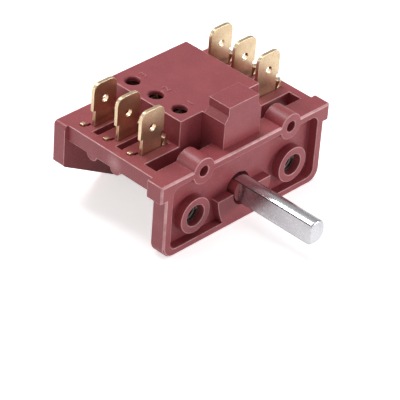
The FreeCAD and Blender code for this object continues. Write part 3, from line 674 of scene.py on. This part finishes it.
def raised_number(digit, x, y):
    """One raised digit on the dome's top."""
    writing = bpy.data.curves.new("writing", "FONT")
    writing.body = digit
    writing.size = NUMBER_SIZE * MM
    writing.extrude = NUMBER_RISE * MM
    writing.align_x = "CENTER"
    writing.align_y = "CENTER"
    writing.resolution_u = NUMBER_CURVE_STEPS
    mesh = plain_mesh(added("writing", writing))
    shape = bmesh.new()
    shape.from_mesh(mesh)
    bmesh.ops.remove_doubles(shape, verts=shape.verts, dist=NUMBER_MERGE)
    bmesh.ops.translate(shape, vec=Vector((x, y, DOME_TOP)) * MM, verts=shape.verts)
    bmesh.ops.recalc_face_normals(shape, faces=shape.faces)
    for face in shape.faces:
        # The digits' sides take the pale edge colour, a painted highlight.
        face.material_index = int(abs(face.normal.z) < FACES_UP)
    shape.to_mesh(mesh)
    mesh.materials.clear()
    mesh.materials.append(FINISH["moulding_mark"])
    mesh.materials.append(FINISH["moulding_painted_highlight"])
    piece = added("raised_number_" + digit, mesh)
    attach(piece, "switch")
    print(piece.name, "faces", len(mesh.polygons), "open edges", open_edges(shape))
    shape.free()


for digit, row in zip("123", SIGHT_ROWS):
    raised_number(digit, SIGHT_X + NUMBER_SHIFT, row)

# %% [markdown]
# ## Wound shapes: the nuts' threads and the detent spring
#
# A thread and a coil spring are both one profile carried along a helix. The Screw modifier could sweep
# them, but a Geometry Nodes tree keeps the turns, the radius and the height as named sizes that can be
# changed later. The same tree winds the round wire of the spring and, with a four-sided profile, the ridges
# of the threads. Each nut plate has a short collar drawn forward into its bore, as thin sheet needs one to
# hold a screw. The bores are widened to the bottom of the thread, so that the ridges stand in them. The
# drum's star wheel lifts the ball and the ball presses the spring shorter; here the spring is wound evenly at
# one length.

# %% Build the winding tree
WHOLE_NUMBER = "NodeSocketInt"
WOUND_SIZES = {"Turns": NUMBER, "Radius": NUMBER, "Height": NUMBER, "Wire Radius": NUMBER,
               "Sides": WHOLE_NUMBER, "Steps": WHOLE_NUMBER}


def winding_tree():
    """A profile carried along a helix."""
    tree = bpy.data.node_groups.new("winding", "GeometryNodeTree")
    tree.interface.new_socket("Geometry", in_out="OUTPUT", socket_type="NodeSocketGeometry")
    for name, kind in WOUND_SIZES.items():
        tree.interface.new_socket(name, in_out="INPUT", socket_type=kind)
    tree.interface.new_socket("Material", in_out="INPUT", socket_type="NodeSocketMaterial")
    given = tree.nodes.new("NodeGroupInput").outputs
    helix = tree.nodes.new("GeometryNodeCurveSpiral")
    for socket, size in (("Resolution", "Steps"), ("Rotations", "Turns"), ("Start Radius", "Radius"),
                         ("End Radius", "Radius"), ("Height", "Height")):
        feed(tree, helix.inputs[socket], given[size])
    profile = tree.nodes.new("GeometryNodeCurvePrimitiveCircle")
    feed(tree, profile.inputs["Resolution"], given["Sides"])
    feed(tree, profile.inputs["Radius"], given["Wire Radius"])
    swept = tree.nodes.new("GeometryNodeCurveToMesh")
    feed(tree, swept.inputs["Curve"], helix.outputs["Curve"])
    feed(tree, swept.inputs["Profile Curve"], profile.outputs["Curve"])
    feed(tree, swept.inputs["Fill Caps"], True)
    whole = tree.nodes.new("GeometryNodeRealizeInstances")
    feed(tree, whole.inputs["Geometry"], swept.outputs["Mesh"])
    finish = tree.nodes.new("GeometryNodeSetMaterial")
    feed(tree, finish.inputs["Geometry"], whole.outputs["Geometry"])
    feed(tree, finish.inputs["Material"], given["Material"])
    made = tree.nodes.new("NodeGroupOutput")
    feed(tree, made.inputs["Geometry"], finish.outputs["Geometry"])
    return tree


WINDING = winding_tree()
SOCKET_ID = {item.name: item.identifier for item in WINDING.interface.items_tree if item.in_out == "INPUT"}
print("winding tree inputs:", sorted(SOCKET_ID))

# %% Wind a piece and set it in place
RIDGE_SIDES = 4


def wound(name, finish, turns, radius, height, wire, sides, steps, place):
    """A wound piece as a plain mesh; radius, height and wire are in millimetres."""
    holder = added("holder", bpy.data.meshes.new("holder"))
    winder = holder.modifiers.new("winding", "NODES")
    winder.node_group = WINDING
    values = (turns, radius * MM, height * MM, wire * MM, sides, steps)
    for socket, value in zip(WOUND_SIZES, values):
        winder[SOCKET_ID[socket]] = value
    winder[SOCKET_ID["Material"]] = FINISH[finish]
    mesh = plain_mesh(holder)
    shape = bmesh.new()
    shape.from_mesh(mesh)
    bmesh.ops.transform(shape, matrix=place, verts=shape.verts)
    bmesh.ops.recalc_face_normals(shape, faces=shape.faces)
    for face in shape.faces:
        face.smooth = sides > RIDGE_SIDES
    shape.to_mesh(mesh)
    shape.free()
    print(name, "faces", len(mesh.polygons), "materials", [m.name for m in mesh.materials])
    return added(name, mesh)


# %% Wind the spring
DETENT_Y = 5.4
SPRING_LOW = 8.695
SPRING_HIGH = 18.0
SPRING_LENGTH = SPRING_HIGH - SPRING_LOW
SPRING_TURNS = 7
SPRING_RADIUS = 1.5
SPRING_WIRE = 0.2
SPRING_SIDES = 10
SPRING_STEPS = 24

spring_place = Matrix.Translation(Vector((0, DETENT_Y, SPRING_LOW)) * MM)
spring = wound("coiled_detent_spring", "wire", turns=SPRING_TURNS, radius=SPRING_RADIUS,
               height=SPRING_LENGTH, wire=SPRING_WIRE, sides=SPRING_SIDES,
               steps=SPRING_STEPS, place=spring_place)
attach(spring, frame["nodes"]["detent_spring"]["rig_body"])
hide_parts("detent_spring")
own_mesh(spring)

# %% Turn the collars and cut the threads
FIXING_X = 14.0
NUT_FRONT = 3.6
NUT_DEPTH = 1.5
COLLAR_FRONT = 1.7
COLLAR_INNER = 1.97
COLLAR_OUTER = 2.35
COLLAR_STEPS = 48
RUN_OUT = 0.1
THREAD_TURNS = 4.5
THREAD_RADIUS = 1.92
THREAD_RIDGE = 0.28
THREAD_STEPS = 32
THREAD_LENGTH = NUT_FRONT + NUT_DEPTH - COLLAR_FRONT - 2 * RUN_OUT


def nut_collar(side, x):
    """The short tube that is drawn forward from a nut plate into its bore."""
    shape = bmesh.new()
    collar_back = NUT_FRONT + RUN_OUT
    profile = [(COLLAR_INNER, COLLAR_FRONT), (COLLAR_OUTER, COLLAR_FRONT),
               (COLLAR_OUTER, collar_back), (COLLAR_INNER, collar_back)]
    corners = [shape.verts.new(Vector((x + radius, y, 0)) * MM) for radius, y in profile]
    outline = [shape.edges.new((corners[i - 1], corners[i])) for i in range(4)]
    bmesh.ops.spin(shape, geom=corners + outline, cent=Vector((x, 0, 0)) * MM, axis=(0, 1, 0),
                   angle=math.tau, steps=COLLAR_STEPS, use_merge=True)
    bmesh.ops.recalc_face_normals(shape, faces=shape.faces)
    mesh = bpy.data.meshes.new("nut_collar_" + side)
    shape.to_mesh(mesh)
    mesh.materials.append(FINISH["thread"])
    piece = added(mesh.name, mesh)
    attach(piece, "switch")
    print(piece.name, "faces", len(mesh.polygons), "open edges", open_edges(shape))
    shape.free()


turned = Matrix.Rotation(math.radians(-90), 4, "X")
for side, x in (("left", -FIXING_X), ("right", FIXING_X)):
    nut_collar(side, x)
    place = Matrix.Translation(Vector((x, COLLAR_FRONT + RUN_OUT, 0)) * MM) @ turned
    thread = wound("nut_thread_" + side, "thread", turns=THREAD_TURNS, radius=THREAD_RADIUS,
                   height=THREAD_LENGTH, wire=THREAD_RIDGE, sides=RIDGE_SIDES, steps=THREAD_STEPS,
                   place=place)
    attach(thread, "switch")

# %% [markdown]
# ## Metal pieces
#
# The terminals are stamped from sheet, so their cut edges are slightly rolled over, and a paler brass is
# painted on them as highlight. The leaves are thin strip with small bends, in a bronze painted nearly black
# as shade in the sight holes. Rivets and contacts are headed, with rounded rims, and the contacts too are
# painted nearly black as that shade. The shaft's flat is milled into round bar, and a thin near-black line
# painted along the edge between them stands for a dark reflection. All of them take the same helper, because
# what differs is only the width of the rounding and the finish.

# %% Dress the metal pieces
TERMINAL_EDGE = 0.1
HEAD_EDGE = 0.2
HEAD_SEGMENTS = 3
LEAF_EDGE = 0.06
NUT_EDGE = 0.14
SHAFT_EDGE = 0.2
BALL_EDGE = 0.05
NUT_BORE = 1.65
NUT_BORE_WITHIN = 0.03
THREAD_ROOT = 1.98
NEARLY_ALL = 0.9


def widen_bores(shape):
    """The plain bore of a nut plate opened to the bottom of the thread."""
    for vert in shape.verts:
        side = math.copysign(FIXING_X * MM, vert.co.x)
        reach = math.hypot(vert.co.x - side, vert.co.z)
        if abs(reach / MM - NUT_BORE) < NUT_BORE_WITHIN:
            grow = THREAD_ROOT * MM / reach
            vert.co.x = side + (vert.co.x - side) * grow
            vert.co.z *= grow


def runs_along(edge):
    """Whether an edge follows the shaft's axis, as the two edges of its flat do."""
    a, b = edge.verts
    return abs(a.co.y - b.co.y) > NEARLY_ALL * edge.calc_length()


for node in SLOT:
    if node.startswith("terminal"):
        dressed(node, "stamped_" + node, TERMINAL_EDGE, "brass", "brass_painted_highlight")
    elif node.startswith("leaf_rivet"):
        dressed(node, "headed_" + node, HEAD_EDGE, "brass", segments=HEAD_SEGMENTS)
    elif node.startswith("leaf"):
        dressed(node, "rolled_" + node, LEAF_EDGE, "bronze")
    elif "contact" in node:
        dressed(node, "headed_" + node, HEAD_EDGE, "silver", segments=HEAD_SEGMENTS)
    elif node.startswith("nut"):
        dressed(node, "plated_" + node, NUT_EDGE, "zinc", adjust=widen_bores)
# The flat's two edges get the near-black strip, a painted dark reflection.
dressed("drive_shaft", "plated_drive_shaft", SHAFT_EDGE, "steel", "steel_painted_dark_streak", choose=runs_along)
dressed("detent_ball", "polished_detent_ball", BALL_EDGE, "ball")

# %% [markdown]
# ## Picture settings
#
# The Standard view shows colours as they are written.

# %% Finish
bpy.context.scene.view_settings.view_transform = "Standard"
bpy.context.view_layer.update()
